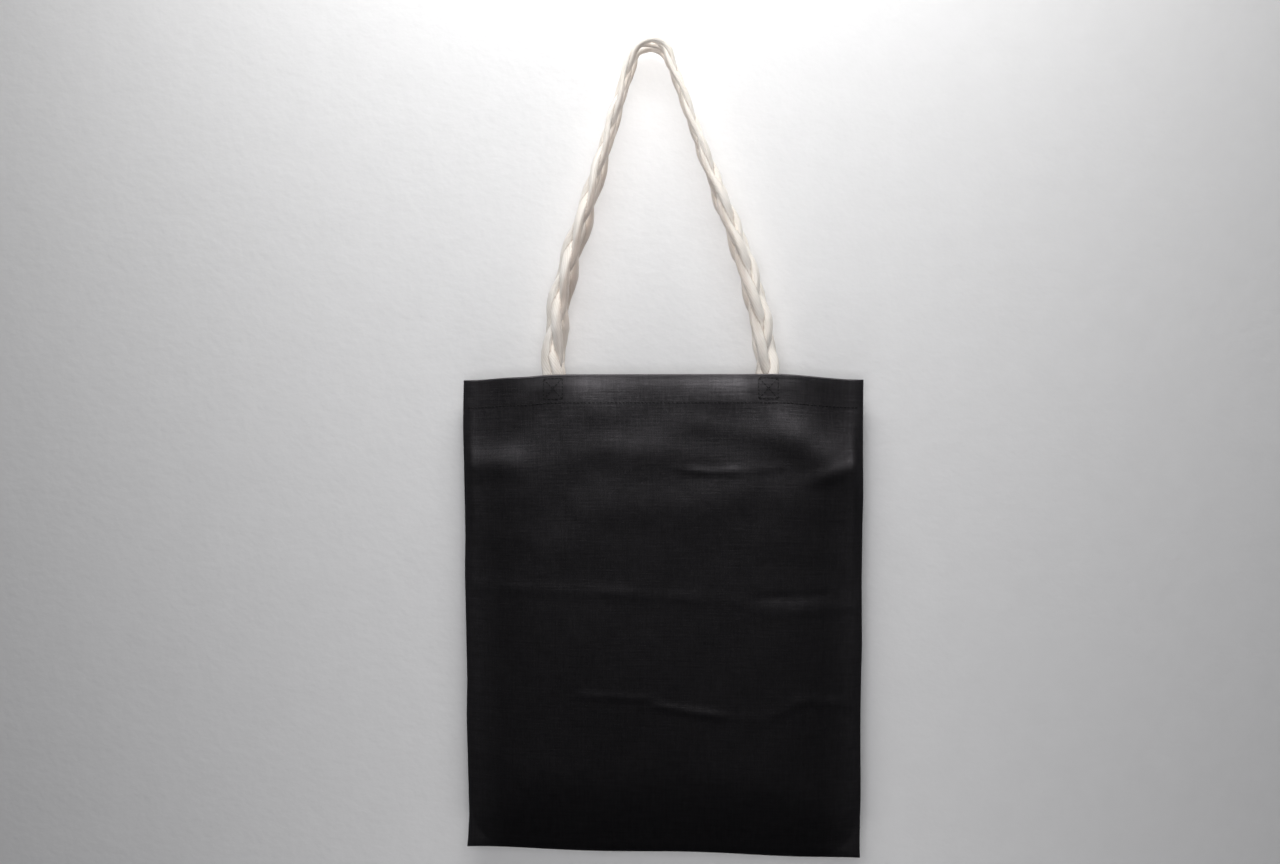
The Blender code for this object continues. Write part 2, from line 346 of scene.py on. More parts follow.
BLACK = canvas("black_canvas", (0.0004, 0.00035, 0.0005), (0.0014, 0.0013, 0.0016))
INSIDE = canvas("canvas_inside", (0.0016, 0.0015, 0.0017), (0.0050, 0.0046, 0.0052))
THREAD = thread_material("black_thread", (0.0042, 0.0038, 0.0043))
# The second colour of each cotton is a brown painted shade, for the creases between strands and the loop's
# inner edge.
COTTON = cotton("cotton_plait", (0.90, 0.86, 0.81), (0.45, 0.355, 0.30))
TAIL = cotton("cotton_tail", (0.86, 0.815, 0.76), (0.45, 0.355, 0.30))


# ---------------------------------------------------------------- mesh helpers
def add_mesh(name, verts, faces, mat, uvs=None, values=None, normals=None):
    mesh = bpy.data.meshes.new(name)
    mesh.from_pydata(np.asarray(verts, float).tolist(), [], [list(map(int, f)) for f in faces])
    mesh.materials.append(mat)
    layer = mesh.uv_layers.new(name="UVMap")
    corners = np.empty(len(mesh.loops), np.int32)
    mesh.loops.foreach_get("vertex_index", corners)
    if uvs is not None:
        layer.data.foreach_set("uv", np.asarray(uvs, np.float32)[corners].ravel())
    if values is not None:
        # Each point's amount of painted shade, which the cotton mixes in as brown.
        painted_shade = mesh.attributes.new("painted_shade", "FLOAT", "POINT")
        painted_shade.data.foreach_set("value", np.asarray(values, np.float32))
    mesh.polygons.foreach_set("use_smooth", np.ones(len(mesh.polygons), bool))
    mesh.validate()
    if normals is not None:
        mesh.normals_split_custom_set_from_vertices(np.asarray(normals, float).tolist())
    obj = bpy.data.objects.new(name, mesh)
    bpy.context.scene.collection.objects.link(obj)
    return obj


def ring_faces(columns, ring, start=0):
    """Quads between closed rings, with a cap at each end."""
    faces = []
    for i in range(columns - 1):
        a = start + i * ring
        for k in range(ring):
            m = (k + 1) % ring
            faces.append((a + k, a + m, a + ring + m, a + ring + k))
    faces.append(tuple(range(start + ring - 1, start - 1, -1)))
    last = start + (columns - 1) * ring
    faces.append(tuple(range(last, last + ring)))
    return faces


def facing_out(verts, faces):
    """The same faces, all turned round if the closed mesh is inside out."""
    verts = np.asarray(verts)
    total = 0.0
    for f in faces:
        a = verts[f[0]]
        for b, c in zip(f[1:-1], f[2:]):
            total += float(np.dot(a, np.cross(verts[b], verts[c])))
    return faces if total > 0 else [tuple(reversed(f)) for f in faces]


def smooth(low, high, value):
    t = np.clip((value - low) / (high - low), 0.0, 1.0)
    return t * t * (3 - 2 * t)


# ---------------------------------------------------------------- the bag's surface
def depth(x, z):
    """Smooth distance of the outer face from the bag's middle plane, rounded at the lower corners."""
    side = (1 - np.clip((HALF - np.abs(x)) / SIDE_RUN, 0.0, 1.0)) ** 2
    foot = (1 - np.clip((z - BOTTOM_Z) / FOOT_RUN, 0.0, 1.0)) ** 2
    fall = np.minimum(1.0, np.sqrt(side**2 + foot**2))
    band = smooth(TOP_Z - BAND_LOW, TOP_Z - BAND_HIGH, z)
    return EDGE + (BULGE - EDGE - BAND_STEP * band) * (1 - fall)


HALF_MM = 1000 * HALF
HEIGHT_MM = 1000 * BAG_HEIGHT
# Creases in millimetres from the middle of the mouth: from x, z to x, z, height, half width
FRONT_CREASES = [
    (-170, -186, -40, -190, 0.38, 5.5), (-40, -190, 24, -194, 0.34, 5.5),
    (24, -194, 96, -197, 0.20, 7.0), (92, -193, 140, -191, -0.55, 4.5), (100, -205, 172, -201, 0.50, 7.0),
    (-64, -283, -16, -284, 0.60, 3.4), (4, -292, 46, -298, 0.95, 3.6),
    (46, -298, 88, -301, 0.22, 5.5), (88, -301, 112, -292, 0.14, 6.0), (112, -292, 128, -285, 0.34, 4.8),
    (128, -285, 152, -287, 0.45, 4.4), (152, -287, 176, -292, 0.35, 4.6),
    (20, -82, 36, -84, 0.40, 3.2), (36, -84, 62, -84, 0.62, 3.2), (62, -84, 104, -80, 0.35, 4.0),
    (146, -86, 179, -73, 1.6, 7.0), (127, -60, 153, -75, 5.4, 19.0), (116, -102, 152, -106, 3.4, 32.0),
    (-166, -76, -147, -76, 3.4, 14.0), (-162, -100, -145, -100, 3.0, 30.0),
    (-128, -30, -150, -60, 0.9, 12.0), (-34, -68, 30, -72, 0.9, 14.0),
    (-74, -74, -50, -66, 0.5, 12.0), (40, -46, 84, -52, 1.0, 10.0),
    (-88, -10, -74, -110, 0.5, 12.0), (88, -12, 80, -90, 0.6, 11.0),
    (-40, -118, 60, -110, 1.3, 18.0), (-150, -140, -60, -150, 0.9, 17.0), (70, -138, 150, -150, 0.9, 17.0),
    (60, -360, 168, -388, 0.45, 14.0), (-160, -340, -60, -372, 0.40, 14.0),
]
BACK_CREASES = [
    (-172, -188, 10, -192, 0.55, 5.0), (10, -192, 176, -188, 0.60, 5.0),
    (-176, -294, -20, -300, 0.60, 4.0), (-20, -300, 170, -290, 0.70, 4.0),
    (98, -12, 148, -72, 1.2, 9.0), (-98, -12, -150, -70, 1.3, 9.0),
    (-86, -10, -60, -104, 0.8, 9.0), (84, -10, 58, -120, 0.8, 9.0),
    (-150, -340, -20, -390, 0.5, 14.0), (40, -350, 160, -330, 0.4, 14.0),
]


def bell(value, centre, width):
    return np.exp(-(((value - centre) / width) ** 2))


def creases(lines, px, pz):
    """Rounded ridges along straight lines, fading out past their ends."""
    out = np.zeros(np.broadcast(px, pz).shape)
    for x0, z0, x1, z1, height, half in lines:
        dx, dz = x1 - x0, z1 - z0
        long = math.hypot(dx, dz)
        t = ((px - x0) * dx + (pz - z0) * dz) / long
        off = ((px - x0) * dz - (pz - z0) * dx) / long
        past = np.maximum(0.0, np.maximum(-t, t - long))
        out = out + height * np.exp(-((off / half) ** 2) - (past / (1.6 * half + 6)) ** 2)
    return out


def mouth_lean(px, pz):
    """The mouth leans back between the handles, most in two shallow buckles."""
    left = bell(px, -56, 30)
    right = bell(px, 68, 32)
    low = -27.0 - 10.0 * bell(px, -42, 26)
    lean = smooth(0.0, 1.0, (pz - low) / (7.0 - low))
    out = -lean * (1.9 + 1.8 * left + 3.3 * right) * smooth(95.0, 66.0, np.abs(px))
    out = out + 0.5 * smooth(-52.0, -34.0, pz) * (1 - lean) * (left + right)
    out = out - 1.1 * smooth(-13.0, 0.0, pz) * smooth(128.0, 106.0, np.abs(px))
    return out + 0.7 * lean * bell(np.abs(px), 140, 22)


def limp_waves(side, px, pz):
    """Slow waves of limp cloth, different on the front and the back, and a fine unevenness."""
    phase = 0.0 if side < 0 else 1.7
    out = 0.60 * np.sin(px / 31 + pz / 83 + phase) * np.sin(pz / 47 + 0.4 + phase)
    high = 0.35 + 0.65 * smooth(-230.0, -60.0, pz)
    out = out + 0.60 * high * np.sin(px / 19 - pz / 25 + 2.1 + phase) * np.sin(pz / 37 - px / 57 + phase)
    return out + 0.10 * np.sin(px / 6.3 + 0.8 * np.sin(pz / 19)) * np.sin(pz / 8.9 + px / 23)


def puckers(px, pz, edge):
    """Small gathers beside the hem's stitching and along the sewn edges."""
    hem = bell(pz, -25, 5) * np.sin(px * 0.82 + np.sin(px / 13))
    along = np.where(HALF_MM - np.abs(px) < pz + HEIGHT_MM, pz, px)
    rim = np.exp(-np.maximum(edge, 0) / 9) * np.sin(along * 0.55)
    return 0.13 * hem + 0.22 * rim


def relief(side, x, z):
    """How far the cloth stands out from its smooth shape. Its parts are worked out in millimetres."""
    px = x * 1000
    pz = (z - TOP_Z) * 1000
    edge = np.minimum(HALF_MM - np.abs(px), pz + HEIGHT_MM)
    out = creases(FRONT_CREASES if side < 0 else BACK_CREASES, px, pz) + mouth_lean(px, pz)
    out = out + limp_waves(side, px, pz) + puckers(px, pz, edge)
    # the turned seam allowance lies inside the edge and lifts the cloth over it
    seam = 0.75 * bell(edge, 7.5, 5.5)
    return 0.001 * (out * smooth(0.0, 9.0, edge) + seam)


def outer(side, x, z):
    edge = np.minimum(HALF - np.abs(x), z - BOTTOM_Z)
    return depth(x, z) + relief(side, x, z) - 0.0007 * np.exp(-np.maximum(edge, 0) / 0.0014)


def inner(side, x, z):
    return np.maximum(outer(side, x, z) - CLOTH, 0.00006)


def place(x, z):
    """Where a point of the flat bag hangs: a slight taper, an arched mouth and wavy edges."""
    t = (TOP_Z - z) / BAG_HEIGHT
    side = np.abs(x) / HALF
    top = smooth(TOP_Z - 0.200, TOP_Z, z)
    arch = 0.0050 * smooth(0.176, 0.098, np.abs(x)) * top
    hang = 0.0012 * np.exp(-(((x + 0.118) / 0.018) ** 2)) * top
    wave = 0.0007 * np.sin(z * 47 + np.sign(x) * 1.3) * side**6
    ear = 0.0012 * side**20 * smooth(BOTTOM_Z + 0.016, BOTTOM_Z, z)
    low = 0.0008 * np.sin(x * 33 + 0.6) * smooth(BOTTOM_Z + 0.05, BOTTOM_Z, z)
    out_x = BAG_X + x * (1 - 0.0105 * t) + 0.0007 * t + wave * np.sign(x) + ear * np.sign(x)
    return out_x, z + arch - hang + low - 0.5 * ear


def at(side, x, z, y):
    px, pz = place(x, z)
    return np.stack(np.broadcast_arrays(px, side * y, pz), axis=-1)


def on_face(side, x, z):
    return at(side, x, z, outer(side, x, z))


def surface_point(side, x, z, lift):
    """A point lift above the outer face, and the direction that faces out there."""
    p = on_face(side, x, z)
    step = 0.0008
    du = on_face(side, x + step, z) - on_face(side, x - step, z)
    dv = on_face(side, x, z + step) - on_face(side, x, z - step)
    n = np.cross(du, dv)
    n = n / np.linalg.norm(n, axis=-1, keepdims=True)
    if side > 0:
        n = -n
    return p + n * lift, n


# ---------------------------------------------------------------- canvas panels
def columns():
    reach = HALF - 0.004
    mid = np.linspace(0.0, reach, 74)
    rim = HALF - np.array([0.0028, 0.0018, 0.0010, 0.0004, 0.0])
    right = np.concatenate([mid, rim])
    return np.concatenate([-right[:0:-1], right])


def panel_rings(side, xs):
    """One closed profile per column: up the outer face, over the turned edge, down the inner face."""
    low = BOTTOM_Z + np.array([0.0, 0.0004, 0.0010, 0.0018, 0.0028])
    rows = np.concatenate([low, np.linspace(BOTTOM_Z + 0.004, TOP_Z - ROLL, 176)])
    rings = []
    uvs = []
    for x in xs:
        d_out = outer(side, x, rows)
        d_in = inner(side, x, rows)
        edge = float(np.clip((HALF - abs(x)) / 0.006, 0.0, 1.0))
        radius = ROLL * (0.25 + 0.75 * edge)
        centre = max(d_out[-1] - radius, radius * 0.3)
        angles = np.radians(np.arange(15, 180, 15))
        roll_y = centre + (d_out[-1] - centre) * np.cos(angles)
        roll_y = np.maximum(roll_y, THIN)
        roll_z = rows[-1] + ROLL * np.sin(angles)
        ys = np.concatenate([d_out, roll_y, d_in[::-1]])
        zs = np.concatenate([rows, roll_z, rows[::-1]])
        rings.append(at(side, x, zs, ys))
        run = np.concatenate([rows, rows[-1] + ROLL * angles, 0.9 + rows[::-1]])
        uvs.append(np.stack([np.full(len(run), x), run], axis=1))
    return np.array(rings), np.array(uvs)


def ring_normals(rings):
    across = np.gradient(rings, axis=0)
    around = np.roll(rings, -1, axis=1) - np.roll(rings, 1, axis=1)
    n = np.cross(across, around)
    n = n / np.maximum(np.linalg.norm(n, axis=-1, keepdims=True), 1e-12)
    middle = rings.mean(axis=1, keepdims=True)
    if float((n * (rings - middle)).sum()) < 0:
        n = -n
    return n


def loft(name, rings, mat, uvs, values=None, normals=None):
    count, ring = rings.shape[:2]
    verts = rings.reshape(-1, 3)
    faces = facing_out(verts, ring_faces(count, ring))
    flat = None if normals is None else normals.reshape(-1, 3)
    return add_mesh(name, verts, faces, mat, uvs.reshape(-1, 2), values, flat)


def across_mouth(obj, hand):
    """Left or right half of a front piece, with its placement baked into its mesh."""
    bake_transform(obj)


def halves(name, rings, uvs, mat, side):
    """One piece for the back. For the front, two halves that meet unseen at the middle."""
    normals = ring_normals(rings)
    if side > 0:
        obj = loft(name, rings, mat, uvs, normals=normals)
        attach(obj, "bag_back")
        return [obj]
    half = len(rings) // 2
    made = []
    for hand, cut in ((-1, slice(0, half + 1)), (1, slice(half, None))):
        label = "left" if hand < 0 else "right"
        obj = loft(f"{name}_{label}", rings[cut], mat, uvs[cut], normals=normals[cut])
        across_mouth(obj, hand)
        made.append(obj)
    return made


def facing_rings(side, xs):
    """The hem's turned-down layer, inside the mouth."""
    rows = np.linspace(TOP_Z - ROLL, TOP_Z - HEM_HEIGHT, 13)
    rings = []
    uvs = []
    for x in xs:
        hold = outer(side, x, rows)
        near = np.maximum(hold - CLOTH - 0.00008, 0.0003)
        far = np.maximum(hold - 2 * ROLL, 0.00012)
        lip = (near[-1] + far[-1]) / 2
        ys = np.concatenate([near, [lip], far[::-1]])
        zs = np.concatenate([rows, [rows[-1] - 0.0006], rows[::-1]])
        rings.append(at(side, x, zs, ys))
        run = np.concatenate([rows, [rows[-1]], 0.9 + rows[::-1]])
        uvs.append(np.stack([np.full(len(run), x), run], axis=1))
    return np.array(rings), np.array(uvs)


def add_panels(side, which):
    rings, uvs = panel_rings(side, columns())
    for obj in halves(f"{which}_canvas", rings, uvs, BLACK, side):
        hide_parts(f"{which}_panel")
    inside = columns()
    inside = inside[np.abs(inside) < HALF - 0.006]
    rings, uvs = facing_rings(side, inside)
    for obj in halves(f"{which}_hem_facing", rings, uvs, INSIDE, side):
        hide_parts(f"{which}_hem")


for side, which in SIDES_OF_BAG:
    add_panels(side, which)


# ---------------------------------------------------------------- stitches
STITCH_T = np.array([0.0, 0.14, 0.5, 0.86, 1.0])
STITCH_LIFT = np.array([-0.00020, 0.00012, 0.00020, 0.00012, -0.00020])
STITCH_RADIUS = np.array([0.00014, 0.00025, 0.00028, 0.00025, 0.00014])
STITCH_SIDES = 6


def stitch_mesh(name, starts, ends, normals, mat):
    """One small arched thread per stitch, its ends sunk in the cloth."""
    verts, faces, uvs = [], [], []
    angles = 2 * math.pi * np.arange(STITCH_SIDES) / STITCH_SIDES
    for a, b, n in zip(starts, ends, normals):
        along = (b - a) / np.linalg.norm(b - a)
        across = np.cross(along, n)
        across = across / np.linalg.norm(across)
        ups = np.cross(across, along)
        base = len(verts)
        for t, lift, r in zip(STITCH_T, STITCH_LIFT, STITCH_RADIUS):
            c = a + (b - a) * t + n * lift
            for k, angle in enumerate(angles):
                verts.append(c + r * (math.cos(angle) * across + math.sin(angle) * ups))
                uvs.append((k * 0.0003, t * 0.003 + len(verts) * 1e-6))
        block = ring_faces(len(STITCH_T), STITCH_SIDES, base)
        if base == 0:
            flip = facing_out(verts, block) != block
        faces += [tuple(reversed(f)) for f in block] if flip else block
    return add_mesh(name, verts, faces, mat, uvs)


def run_of_stitches(side, points, pitch):
    """Stitches along a line of flat positions on the outer face."""
    starts, ends, normals = [], [], []
    for (x0, z0), (x1, z1) in zip(points, points[1:]):
        long = math.hypot(x1 - x0, z1 - z0)
        count = max(1, round(long / pitch))
        for i in range(count):
            t0 = (i + (1 - STITCH_SHARE) / 2) / count
            t1 = (i + (1 + STITCH_SHARE) / 2) / count
            a, n = surface_point(side, x0 + (x1 - x0) * t0, z0 + (z1 - z0) * t0, STITCH_REST)
            b, _ = surface_point(side, x0 + (x1 - x0) * t1, z0 + (z1 - z0) * t1, STITCH_REST)
            starts.append(a)
            ends.append(b)
            normals.append(n)
    return starts, ends, normals


def add_hem_stitches(side, which):
    reach = HALF - 0.0045
    if side < 0:
        runs = [(hand, f"front_hem_stitches_{label}", 0.0, hand * reach) for hand, label in HANDS]
    else:
        runs = [(0, "back_hem_stitches", -reach, reach)]
    for hand, name, start, end in runs:
        row = run_of_stitches(side, [(start, STITCH_Z), (end, STITCH_Z)], STITCH_PITCH)
        obj = stitch_mesh(name, *row, THREAD)
        if hand:
            across_mouth(obj, hand)
        else:
            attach(obj, "bag_back")
        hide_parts(f"{which}_hem_stitching")


def add_box_stitches(side, which, hand, label):
    """The box and cross that hold one tail of a handle."""
    x = hand * FOOT_X
    w, h, z = BOX_HALF_WIDTH, BOX_HALF_HEIGHT, BOX_Z
    corners = [(x - w, z - h), (x + w, z - h), (x + w, z + h), (x - w, z + h)]
    starts, ends, normals = run_of_stitches(side, corners + corners[:1], BOX_PITCH)
    for pair in ((corners[0], corners[2]), (corners[1], corners[3])):
        more = run_of_stitches(side, pair, BOX_PITCH)
        starts += more[0]
        ends += more[1]
        normals += more[2]
    obj = stitch_mesh(f"{which}_box_stitches_{label}", starts, ends, normals, THREAD)
    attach(obj, f"bag_{which}")
    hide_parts(f"{which}_handle_tack_{label}")


for side, which in SIDES_OF_BAG:
    add_hem_stitches(side, which)
    for hand, label in HANDS:
        add_box_stitches(side, which, hand, label)


# ---------------------------------------------------------------- seam allowances
def allowance_half(x, z):
    room = np.minimum(inner(-1, x, z), inner(1, x, z)) - 0.0002
    return np.clip(room, 0.00012, 0.00115)


def strip(name, centres, depths, mat):
    """A flat double layer of canvas: centres are (x, z) rows from the sewn edge to the raw edge."""
    rings = []
    uvs = []
    for i, (row, half) in enumerate(zip(centres, depths)):
        wave = 0.00025 * math.sin(i * 0.9) + 0.00015 * math.sin(i * 2.3 + 1)
        lifts = wave * np.linspace(0, 1, len(row))
        points = []
        for turn, cells in ((-1, range(len(row))), (1, reversed(range(len(row))))):
            for k in cells:
                px, pz = place(*row[k])
                points.append((float(px), turn * half[k] + lifts[k], float(pz)))
        rings.append(points)
        uvs.append(row + [(x + 0.5, z) for x, z in row[::-1]])
    return loft(name, np.array(rings), mat, np.array(uvs))


def tube(name, points, radius, mat, sides):
    points = np.array(points)
    along = np.gradient(points, axis=0)
    along = along / np.linalg.norm(along, axis=1, keepdims=True)
    up = np.array([0.0, 0.0, 1.0])
    rings, uvs = [], []
    run = 0.0
    side_dir = None
    for i, (p, t) in enumerate(zip(points, along)):
        if side_dir is None:
            side_dir = np.cross(t, up if abs(t[2]) < 0.9 else np.array([0.0, 1.0, 0.0]))
        side_dir = side_dir - t * np.dot(side_dir, t)
        side_dir = side_dir / np.linalg.norm(side_dir)
        other = np.cross(t, side_dir)
        if i:
            run += float(np.linalg.norm(p - points[i - 1]))
        angles = 2 * math.pi * np.arange(sides) / sides
        rings.append([p + radius * (math.cos(a) * side_dir + math.sin(a) * other) for a in angles])
        uvs.append([(k * 0.0003, run) for k in range(sides)])
    return loft(name, np.array(rings), mat, np.array(uvs))


def overlock(name, edge_points, inward):
    """Thread wrapped round a raw edge: edge_points run along it, inward points into the cloth."""
    path = []
    loop = ((OVERLOCK_BITE, -OVERLOCK_OUT), (-0.0004, 0.0), (OVERLOCK_BITE, OVERLOCK_OUT), (-0.0004, 0.0))
    for x, z in edge_points:
        for k, (bite, y) in enumerate(loop):
            step = k / len(loop) * OVERLOCK_PITCH
            along = (0.0, step) if inward[0] else (step, 0.0)
            px, pz = place(x + inward[0] * bite + along[0], z + inward[1] * bite + along[1])
            path.append((float(px), y, float(pz)))
    return tube(name, path, OVERLOCK_RADIUS, THREAD, 5)


def add_seam(name, node, rows, edge, inward):
    """An allowance from rows of (x, z) points, and the overlock thread along its raw edge."""
    halfs = [allowance_half(*np.array(row).T) for row in rows]
    obj = strip(f"{name}_seam_allowance", rows, halfs, INSIDE)
    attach(obj, "bag_back")
    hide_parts(node)
    obj = overlock(f"{name}_seam_overlock", edge, inward)
    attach(obj, "bag_back")


def stitch_places(line):
    """Where the overlock's loops lie along a seam whose ends are the ends of line."""
    return np.arange(line[0] + 0.001, line[-1] - 0.003, OVERLOCK_PITCH)


def add_seams():
    zs = np.linspace(BOTTOM_Z + 0.016, TOP_Z - HEM_HEIGHT - 0.0015, 130)
    xs = HALF - np.array([0.0010, 0.0028, 0.0050, 0.0080, 0.0110, SEAM_EDGE])
    for hand, label in HANDS:
        rows = [[(hand * x, z) for x in xs] for z in zs]
        edge = [(hand * (HALF - SEAM_EDGE), z) for z in stitch_places(zs)]
        add_seam(label, f"{label}_side_seam", rows, edge, (hand, 0.0))
    xs = np.linspace(-(HALF - SEAM_END), HALF - SEAM_END, 120)
    zs = BOTTOM_Z + np.array([0.0010, 0.0028, 0.0050, 0.0080, 0.0105, BOTTOM_EDGE])
    rows = [[(x, z) for z in zs] for x in xs]
    edge = [(x, BOTTOM_Z + BOTTOM_EDGE) for x in stitch_places(xs)]
    add_seam("bottom", "bottom_seam", rows, edge, (0.0, -1.0))


add_seams()


# ---------------------------------------------------------------- plaited handles
def catmull_rom(points, steps):
    pts = np.asarray(points, float)
    out = []
    for i in range(len(pts) - 1):
        p0, p1, p2, p3 = pts[max(i - 1, 0)], pts[i], pts[i + 1], pts[min(i + 2, len(pts) - 1)]
        for t in np.arange(steps) / steps:
            line = 2 * p1 + (p2 - p0) * t + (2 * p0 - 5 * p1 + 4 * p2 - p3) * t * t
            out.append((line + (3 * p1 - p0 - 3 * p2 + p3) * t**3) / 2)
    out.append(pts[-1])
    return np.array(out)


def even(points, count):
    run = np.concatenate([[0.0], np.cumsum(np.linalg.norm(np.diff(points, axis=0), axis=1))])
    s = np.linspace(0.0, run[-1], count)
    return np.stack([np.interp(s, run, points[:, k]) for k in range(3)], axis=1), s


def along_leg(z, at_nail, at_leg, at_foot):
    """A value that changes smoothly down a leg, from the hang point to the foot."""
    high = at_leg + (at_nail - at_leg) * smooth(FULL_HIGH_Z, THIN_Z, z)
    low = at_foot + (at_leg - at_foot) * smooth(TOP_Z, FULL_LOW_Z, z)
    return np.where(z > FULL_HIGH_Z, high, low)


def plait_line(side, count):
    line = catmull_rom([(x, 0.0, z) for x, z in ROUTE], 24)
    line[:, 1] = side * along_leg(line[:, 2], NAIL_Y, LEG_Y, FOOT_Y)
    return even(line, count)


def plait_frames(side, count):
    """For each ring: middle, width direction, thickness direction and distance."""
    line, s = plait_line(side, count)
    along = np.gradient(line, axis=0)
    along[0] = (0, 0, 1)
    along[-1] = (0, 0, -1)
    along = along / np.linalg.norm(along, axis=1, keepdims=True)
    across = np.cross(np.array([0.0, 1.0, 0.0]), along)
    across = across / np.linalg.norm(across, axis=1, keepdims=True)
    through = np.cross(along, across)
    z = line[:, 2]
    low = FOOT_TURN * smooth(TOP_Z, TOP_Z + FOOT_TURN_RUN, z)
    high = np.clip((z - TWIST_LOW) / (TWIST_HIGH - TWIST_LOW), 0.0, 1.0)
    turn = side * np.radians(low + (90 - FOOT_TURN) * high)[:, None]
    wide = across * np.cos(turn) + through * np.sin(turn)
    thick = through * np.cos(turn) - across * np.sin(turn)
    return line, wide, thick, s


def strand_section(side, number, s, z):
    """Outlines of one strand in the plait's frame: u is its width and v its thickness direction."""
    t = 2 * math.pi * (s / PITCH + number / STRANDS)
    size = along_leg(z, NAIL_SIZE, LEG_SIZE, 1.0)
    splay = (1 + 0.12 * smooth(0.045, 0.0, np.minimum(s, s[-1] - s)))[:, None]
    u0 = SWAY * np.tanh(1.2 * np.sin(t)) / math.tanh(1.2)
    v0 = OVER * np.sin(2 * t)
    tilt = -0.34 * np.cos(t)
    seed = number * 2.1 + (0 if side < 0 else 5.3)
    plump = 1 + 0.035 * np.sin(s * 190 + seed) + 0.02 * np.sin(s * 470 + 2 * seed)
    angles = (2 * math.pi * np.arange(SIDES) / SIDES)[None, :]
    run = s[:, None]
    lobes = 1 + 0.022 * np.cos(5 * angles + run * 120 + seed) + 0.012 * np.cos(9 * angles - run * 260)
    c, q = np.cos(angles), np.sin(angles)
    a = STRAND_WIDE * plump[:, None] * lobes * np.sign(c) * np.abs(c) ** 0.86
    b = STRAND_THICK * plump[:, None] * lobes * np.sign(q) * np.abs(q) ** 0.86
    lean, rise = np.cos(tilt)[:, None], np.sin(tilt)[:, None]
    u = (u0[:, None] + a * lean - b * rise) * splay * size[:, None]
    v = (v0[:, None] + a * rise + b * lean) * size[:, None]
    return u0 * size, v0 * size, tilt, size, u, v


def painted_crease_shade(u, v, other):
    """Painted shade in the crease beside another strand, from 0 to 0.85: stronger the deeper a point lies
    in the crease.
    """
    u0, v0, tilt, size, _, _ = other
    du, dv = u - u0[:, None], v - v0[:, None]
    lean, rise = np.cos(tilt)[:, None], np.sin(tilt)[:, None]
    a = (du * lean + dv * rise) / STRAND_WIDE / size[:, None]
    b = (dv * lean - du * rise) / STRAND_THICK / size[:, None]
    return 0.85 * smooth(1.22, 0.98, np.sqrt(a * a + b * b))


def inner_shade(line, along, rings):
    """Painted shade, brown, on the plait's edge that faces the inside of the loop: stronger on the left leg
    and weaker towards the foot.
    """
    inward = np.stack([along[:, 2], np.zeros(len(along)), -along[:, 0]], axis=1)
    inward = inward / np.linalg.norm(inward, axis=1, keepdims=True)
    toward = ((rings - line[:, None, :]) * inward[:, None, :]).sum(axis=2)
    deep = np.where(line[:, :1] < 0, 0.70, 0.45) * (0.35 + 0.65 * smooth(-0.285, -0.200, line[:, 2:]))
    return deep * smooth(0.0010, 0.0048, toward)


def strand_rings(side, frames):
    """Rings, texture places and painted shade of all three strands."""
    line, wide, thick, s = frames
    sections = [strand_section(side, number, s, line[:, 2]) for number in range(STRANDS)]
    along = np.gradient(line, axis=0)
    made = []
    for number, (_, _, _, _, u, v) in enumerate(sections):
        rings = line[:, None, :] + u[:, :, None] * wide[:, None, :] + v[:, :, None] * thick[:, None, :]
        # Painted shade on the loop's inner edge, and in the creases beside the other strands, whichever is
        # stronger.
        painted_shade = inner_shade(line, along, rings)
        for other in sections[:number] + sections[number + 1:]:
            painted_shade = np.maximum(painted_shade, painted_crease_shade(u, v, other))
        around = np.arange(SIDES) * AROUND_UV + number * 0.05
        uvs = np.stack([np.broadcast_to(around, u.shape), np.broadcast_to(s[:, None], u.shape)], axis=2)
        made.append((rings, uvs, painted_shade))
    return made


def joined(name, mat, strands):
    """One object from strands of (rings, texture places, painted shade)."""
    faces = []
    for number, (rings, _, _) in enumerate(strands):
        count = len(rings)
        block = facing_out(rings.reshape(-1, 3), ring_faces(count, SIDES))
        faces += [tuple(number * count * SIDES + k for k in f) for f in block]
    verts = np.concatenate([rings.reshape(-1, 3) for rings, _, _ in strands])
    uvs = np.concatenate([places.reshape(-1, 2) for _, places, _ in strands])
    painted_shades = np.concatenate([painted_shade.ravel() for _, _, painted_shade in strands])
    return add_mesh(name, verts, faces, mat, uvs, painted_shades)


def order_at(number, s):
    """Place of a strand from left to right at one foot."""
    sways = [math.sin(2 * math.pi * (s / PITCH + k / STRANDS)) for k in range(STRANDS)]
    rank = sorted(range(STRANDS), key=lambda k: sways[k]).index(number)
    return rank if s == 0 else STRANDS - 1 - rank


def tail(name, side, frames, strands, end):
    """The plait's flattened end below the mouth's edge. end is 0 for the left foot and -1 for the right."""
    foot = frames[0][end]
    s = frames[3][end]
    made = []
    for number, (rings, _, painted_shades) in enumerate(strands):
        centre = rings[end].mean(axis=0)
        shape = rings[end] - centre
        slot_x = foot[0] + (order_at(number, s) - 1) * TAIL_SPACING
        flat_y = side * TAIL_Y
        out = []
        for k in np.arange(TAIL_STEPS + 1) / TAIL_STEPS:
            ease = float(smooth(0.0, 0.45, k))
            c = np.array([
                centre[0] + (slot_x - centre[0]) * ease,
                centre[1] + (flat_y - centre[1]) * ease,
                foot[2] - TAIL_DROP * k,
            ])
            squash = np.array([1 - 0.18 * ease, 1 - 0.10 * ease, 0.0])
            ending = 1 - 0.35 * float(smooth(0.86, 1.0, k))
            out.append(c + shape * squash * ending)
        around = np.arange(SIDES) * AROUND_UV + number * 0.05
        down = s + TAIL_DROP * np.arange(TAIL_STEPS + 1) / TAIL_STEPS
        places = np.stack(np.meshgrid(around, down), axis=2)
        # The tails keep the feet's painted shade, at 0.6 of its strength.
        made.append((np.array(out), places, np.tile(painted_shades[end], TAIL_STEPS + 1) * 0.6))
    return joined(name, TAIL, made)


